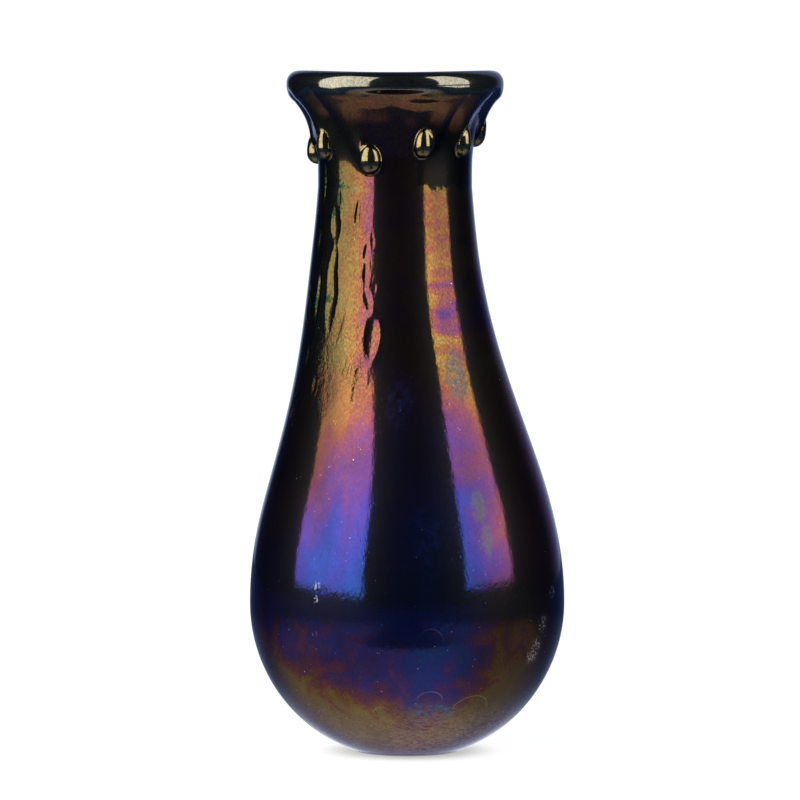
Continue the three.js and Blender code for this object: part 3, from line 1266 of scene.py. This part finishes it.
@dataclass(frozen=True)
class Finish:
    """One finish of the glass.

    Attributes:
        name: The material's name.
        bump: Height of the skin's relief, in metres.
        metallic: 1 for glass under a metal film, 0 for bare glass.
        dust: Colour of the specks.
    """

    name: str
    bump: float
    metallic: float = 1.0
    dust: Triple = (0.3, 0.29, 0.27)

    def paint(self, graph: Graph, place: Socket) -> tuple[Socket, Wire, Wire]:
        """Draw what changes over the glass.

        Args:
            graph: The material's graph.
            place: Where it is read, in metres.

        Returns:
            The colour, the roughness and the height of the skin.
        """
        raise NotImplementedError

    def even(self) -> dict[str, object]:
        """List the shader's settings that are the same all over."""
        return {"Metallic": self.metallic}

    def material(self) -> bpy.types.Material:
        """Build the node material.

        Returns:
            The finished material.
        """
        material, graph, shader, place = new_material(self.name)
        colour, rough, skin = self.paint(graph, place)
        bump = graph.add("ShaderNodeBump", {"Height": skin, "Strength": 1.0, "Distance": self.bump})
        graph.feed(shader, {"Base Color": colour, "Roughness": rough, "Normal": bump.outputs["Normal"]})
        graph.feed(shader, self.even())
        return material


@dataclass(frozen=True)
class Lustre(Finish):
    """The outside: near-black glass under a film that colours its reflections.

    Attributes:
        smoothness: Roughness of the clean film.
        cream: Colour of the reflections on the lip, where the film is thin.
        gilt: Colour of the reflections on the drops.
        grey: Colour of the reflections where the film is worn dull.
        tan: Colour of the reflections just above the foot.
        brown: Colour of the reflections on the collar under the lip.
        teal: Colour of the thick flecks above the foot.
        blue: Colour of the reflections where the film is finely rubbed.
        edge: Tint of the reflections close to the outline.
        haze: Share of the soft bloom that handling and dust have left.
        haze_roughness: Roughness of that bloom.
    """

    name: str = "lustred glass"
    bump: float = 0.00009
    dust: Triple = (0.42, 0.40, 0.36)
    smoothness: float = 0.06
    cream: Triple = (0.112, 0.104, 0.076)
    gilt: Triple = (0.122, 0.094, 0.042)
    grey: Triple = (0.026, 0.027, 0.028)
    tan: Triple = (0.138, 0.096, 0.066)
    brown: Triple = (0.094, 0.044, 0.021)
    teal: Triple = (0.026, 0.068, 0.120)
    blue: Triple = (0.012, 0.036, 0.190)
    edge: Triple = (0.42, 0.45, 0.60)
    haze: float = 0.15
    haze_roughness: float = 0.4
    FLECKS = ((0.0107, -0.0534, 0.0232, 0.0160),)

    def paint(self, graph: Graph, place: Socket) -> tuple[Socket, Wire, Wire]:
        """Draw the film, its dull, thick, thin and dusty places, and its skin.

        Args:
            graph: The material's graph.
            place: Where it is read, in metres.

        Returns:
            The colour, the roughness and the height of the skin.
        """
        level = graph.parts(place)[2]
        colour = Film.place(graph, place, Swirl=0.42, Grain=0.15)["Colour"]
        wear = Wear.place(graph, place, Amount=0.9)["Mask"]
        patina = Patina.place(graph, place, Amount=0.8)

        # The lip and the drops have a thinner film.
        lip = level.span(0.286, 0.291)
        bead = Wire(graph, graph.add("ShaderNodeAttribute", attribute_name="bead").outputs["Fac"])
        thin = lip.most(bead.span(0.0, 0.9))
        colour = graph.mix(thin, colour, graph.mix(lip, self.gilt, self.cream))
        colour = graph.mix(patina["Bloom"] * 0.8, colour, self.blue)
        colour = graph.mix(patina["Mask"] * (1.0 - thin), colour, self.grey)

        # The collar, the glass just above the foot and the flecks there.
        waves = graph.noise(place, 330.0, 0.35, 3.0, 0.65, 1.2)
        collar = level.span(0.272, 0.284, 0.0, 0.85) * waves.span(0.30, 0.55, 0.55, 1.0) * (1.0 - thin)
        colour = graph.mix(collar, colour, self.brown)
        low = level.span(0.007, 0.033, 1.0, 0.0) * waves.span(0.32, 0.62, 0.25, 1.0)
        colour = graph.mix(low, colour, self.tan)
        broken = graph.noise(place, 420.0, 0.5, 3.0, 0.7, 0.8).span(0.50, 0.60)
        colour = graph.mix(graph.spots(place, self.FLECKS, 0.3, 2.6) * broken, colour, self.teal)

        # Clouds and sparkle, then the dust.
        cloud = graph.noise(place, 55.0, 2.0, 4.0, 0.6)
        sparkle = (graph.noise(place, 1250.0, 1.5, 2.0, 0.6) - 0.5) * level.span(0.13, 0.18, 0.7, 1.7)
        shade = (cloud.span(0.3, 0.7, 0.80, 1.14) + sparkle).most(0.2)
        colour = graph.mix(wear, graph.mix(1.0, colour, graph.grey(shade), "MULTIPLY"), self.dust)
        rough = cloud.span(0.35, 0.7, self.smoothness, self.smoothness + 0.05)
        rough = rough + wear * 0.5 + patina["Bloom"] * 0.20
        return colour, rough, Grain.place(graph, place, Pull=0.5, Seeds=0.35)["Height"]

    def even(self) -> dict[str, object]:
        """List the shader's settings that are the same all over."""
        haze = {"Coat Weight": self.haze, "Coat Roughness": self.haze_roughness}
        return {"Metallic": self.metallic, "Specular Tint": (*self.edge, 1.0), **haze}


@dataclass(frozen=True)
class DarkGlass(Finish):
    """The inside: the same dark glass, with a thinner, quieter film.

    Attributes:
        film: Share of the film's colour that shows.
        glass: Colour of the bare glass's reflections.
    """

    name: str = "dark inner glass"
    bump: float = 0.00008
    film: float = 0.5
    glass: Triple = (0.045, 0.045, 0.052)

    def paint(self, graph: Graph, place: Socket) -> tuple[Socket, Wire, Wire]:
        """Draw the film and its dust.

        Args:
            graph: The material's graph.
            place: Where it is read, in metres.

        Returns:
            The colour, the roughness and the height of the skin.
        """
        film = Film.place(graph, place, Swirl=0.5, Grain=0.1)["Colour"]
        wear = Wear.place(graph, place, Amount=0.5)["Mask"]
        colour = graph.mix(wear, graph.mix(self.film, self.glass, film), self.dust)
        rough = graph.noise(place, 70.0, 1.5, 3.0, 0.6).span(0.3, 0.7, 0.12, 0.26)
        return colour, rough, Grain.place(graph, place, Pull=0.6, Seeds=0.2)["Height"]


@dataclass(frozen=True)
class GroundGlass(Finish):
    """The foot: glass ground flat and half polished, with the wheel's scratches.

    Attributes:
        colour: Colour of the ground glass.
        pale: Its colour in the scratches.
    """

    name: str = "ground glass"
    bump: float = 0.00003
    metallic: float = 0.0
    colour: Triple = (0.030, 0.029, 0.034)
    pale: Triple = (0.085, 0.083, 0.088)

    def paint(self, graph: Graph, place: Socket) -> tuple[Socket, Wire, Wire]:
        """Draw the scratches and the dust.

        Args:
            graph: The material's graph.
            place: Where it is read, in metres.

        Returns:
            The colour, the roughness and the height of the skin.
        """
        lines = graph.scaled(place, (60.0, 1400.0, 1.0))
        texture = graph.add("ShaderNodeTexNoise", {"Vector": lines, "Scale": 1.0, "Detail": 3.0})
        scratch = Wire(graph, texture.outputs["Fac"])
        colour = graph.mix(scratch.span(0.45, 0.75), self.colour, self.pale)
        wear = Wear.place(graph, place, Amount=0.8)["Mask"]
        return graph.mix(wear, colour, self.dust), scratch.span(0.3, 0.7, 0.34, 0.58), scratch


@dataclass
class Softbox:
    """A tall lit panel that stands beside the camera.

    Attributes:
        name: The lamp's name.
        turn: Where it stands round the vase, in degrees from the front.
        distance: How far it is from the vase's axis, in metres.
        width: Its width in metres.
        bottom: Height of its lower edge in metres.
        top: Height of its upper edge in metres.
        brightness: How bright its face is, where the pale floor is about 1.
    """

    name: str
    turn: float
    distance: float
    width: float
    bottom: float
    top: float
    brightness: float

    def build(self) -> bpy.types.Object:
        """Make the lamp.

        Returns:
            The lamp's object.
        """
        tall = self.top - self.bottom
        lamp = bpy.data.lights.new(self.name, "AREA")
        lamp.shape = "RECTANGLE"
        lamp.size, lamp.size_y = self.width, tall
        lamp.energy = self.brightness * self.width * tall * math.pi
        made = bpy.data.objects.new(self.name, lamp)
        angle = math.radians(self.turn)
        outward = Vector((math.sin(angle), -math.cos(angle), 0.0))
        made.location = outward * self.distance + Vector((0.0, 0.0, (self.top + self.bottom) / 2))
        made.rotation_euler = outward.to_track_quat("Z", "Y").to_euler()
        made.visible_camera = False
        bpy.context.scene.collection.objects.link(made)
        return made


@dataclass
class Studio:
    """The pale floor, the light and the camera.

    Attributes:
        floor_radius: Radius of the lit floor, in metres.
        floor_gap: How far the floor is below the foot, in metres.
        eye: Where the camera is, in metres.
        aim: What it looks at, in metres.
        frame_width: Width of the picture at the vase, in metres.
        white: Brightness of the floor and the room to the camera.
        sweep: Colour of the lit sweep behind the vase, in reflections.
        gloom: Colour of the rest of the room, in reflections.
        floor_gloom: Colour of the floor far off, in reflections.
        boxes: The lamps.
    """

    floor_radius: float = 1.6
    floor_gap: float = 0.0002
    eye: Triple = (-0.0031, -2.0, 0.262)
    aim: Triple = (-0.0031, 0.0, 0.1551)
    frame_width: float = 0.3527
    white: float = 1.05
    sweep: Triple = (0.66, 0.72, 0.95)
    gloom: Triple = (0.038, 0.054, 0.088)
    floor_gloom: Triple = (0.05, 0.11, 0.26)
    boxes: tuple[Softbox, ...] = (
        Softbox("left softbox", -60.6, 2.0, 2.22, 0.12, 4.3, 5.3),
        Softbox("right softbox", 62.8, 2.0, 1.43, 0.165, 4.3, 5.0),
    )

    def build(self) -> None:
        """Set up the floor, the lamps, the world and the camera."""
        self._floor()
        for box in self.boxes:
            box.build()
        self._world()
        self._camera()

    def _floor(self) -> None:
        """Lay the pale floor, so that it has no edge."""
        work = bmesh.new()
        bmesh.ops.create_circle(work, cap_ends=True, segments=96, radius=self.floor_radius)
        mesh = bpy.data.meshes.new("floor")
        work.to_mesh(mesh)
        work.free()
        floor = bpy.data.objects.new("floor", mesh)
        floor.location.z = -self.floor_gap
        bpy.context.scene.collection.objects.link(floor)
        floor.data.materials.append(self._floor_material())

    def _floor_material(self) -> bpy.types.Material:
        """Light the floor evenly to the eye, apart from the vase's soft shadow, and less evenly in reflections.

        Returns:
            The finished material.
        """
        material, graph, shader, place = new_material("pale floor")
        tone = graph.noise(place, 300.0, 1.0, 3.0, 0.6).span(0.2, 0.8, 0.79, 0.82)
        graph.feed(shader, {"Roughness": 0.9, "Base Color": graph.grey(tone)})
        x, y, _ = graph.parts(place)
        away = graph.distance(place)

        # To the eye: more and more glow away from the foot, and less of the shadow to the right.
        beside = graph.distance(place, (0.05, 0.0, 0.0))
        share = away.span(0.022, 0.044, 0.40, 0.91) + beside.span(0.04, 0.13, 0.0, 0.09)
        glow = graph.add("ShaderNodeEmission", {"Color": (1.0, 1.0, 1.0, 1.0), "Strength": self.white})
        seen = graph.add("ShaderNodeMixShader", {0: share, 1: shader.outputs[0], 2: glow.outputs[0]})

        # In reflections: bright near the foot, and dark in front from the table's edge on.
        step = (y * -1.0).span(0.155, 0.168, 1.0, 0.0).most(abs(x).span(0.03, 0.16))
        far = away.span(0.14, 0.60, 1.0, 0.0) * y.span(-0.03, 0.08, 1.0, 0.3)
        lit = step * far * away.span(0.03, 0.12, 1.35, 0.85)
        tint = graph.mix(lit, self.floor_gloom, (1.0, 1.0, 1.0))
        strength = away.span(0.022, 0.060, 1.5, 1.25) * away.span(0.05, 0.14, 1.0, 0.8)
        mirrored = graph.add("ShaderNodeEmission", {"Color": tint, "Strength": strength})

        to_camera = graph.add("ShaderNodeLightPath").outputs["Is Camera Ray"]
        both = graph.add("ShaderNodeMixShader", {0: to_camera, 1: mirrored.outputs[0], 2: seen.outputs[0]})
        output = next(node for node in graph.tree.nodes if node.type == "OUTPUT_MATERIAL")
        graph.feed(output, {"Surface": both.outputs[0]})
        return material

    def _world(self) -> None:
        """Make the room: white to the eye, and in reflections a white sweep behind and a dark front."""
        world = bpy.data.worlds.new("room")
        bpy.context.scene.world = world
        world.use_nodes = True
        world.node_tree.nodes.clear()
        graph = Graph(world.node_tree)
        way = graph.add("ShaderNodeTexCoord").outputs["Generated"]
        x, y, z = graph.parts(way)
        behind = y / graph.distance(graph.scaled(way, (1.0, 1.0, 0.0))).most(0.001)
        left = behind.span(0.90, 0.96) * x.span(-0.02, 0.02, 1.0, 0.0)
        right = behind.span(0.66, 0.95) * x.span(-0.02, 0.02)
        room = graph.mix((left + right) * z.span(0.55, 0.9, 1.0, 0.0), self.gloom, self.sweep)
        to_camera = Wire(graph, graph.add("ShaderNodeLightPath").outputs["Is Camera Ray"])
        colour = graph.mix(to_camera, room, (self.white,) * 3)
        shade = graph.add("ShaderNodeBackground", {"Color": colour, "Strength": 1.0})
        graph.add("ShaderNodeOutputWorld", {"Surface": shade.outputs[0]})

    def _camera(self) -> None:
        """Place the camera at the photograph's angle."""
        eye, aim = Vector(self.eye), Vector(self.aim)
        lens = bpy.data.cameras.new("camera")
        lens.sensor_width = 36.0
        lens.lens = lens.sensor_width * (aim - eye).length / self.frame_width
        camera = bpy.data.objects.new("camera", lens)
        camera.location = eye
        camera.rotation_euler = (aim - eye).to_track_quat("-Z", "Y").to_euler()
        scene = bpy.context.scene
        scene.collection.objects.link(camera)
        scene.camera = camera
        scene.view_settings.view_transform = "Standard"


def main() -> None:
    """Build the studio and the vase, and report each piece."""
    logging.basicConfig(level=logging.INFO, format="%(name)s: %(message)s")
    Studio().build()
    log.info("studio ready")
    vase = Vase()
    made = vase.build()
    made.data.calc_loop_triangles()
    log.info("vase: %d vertices, %d triangles", len(made.data.vertices), len(made.data.loop_triangles))
    vase.dress(made)
    log.info("vase dressed in %d finishes", len(made.data.materials))


if __name__ == "__main__":
    main()
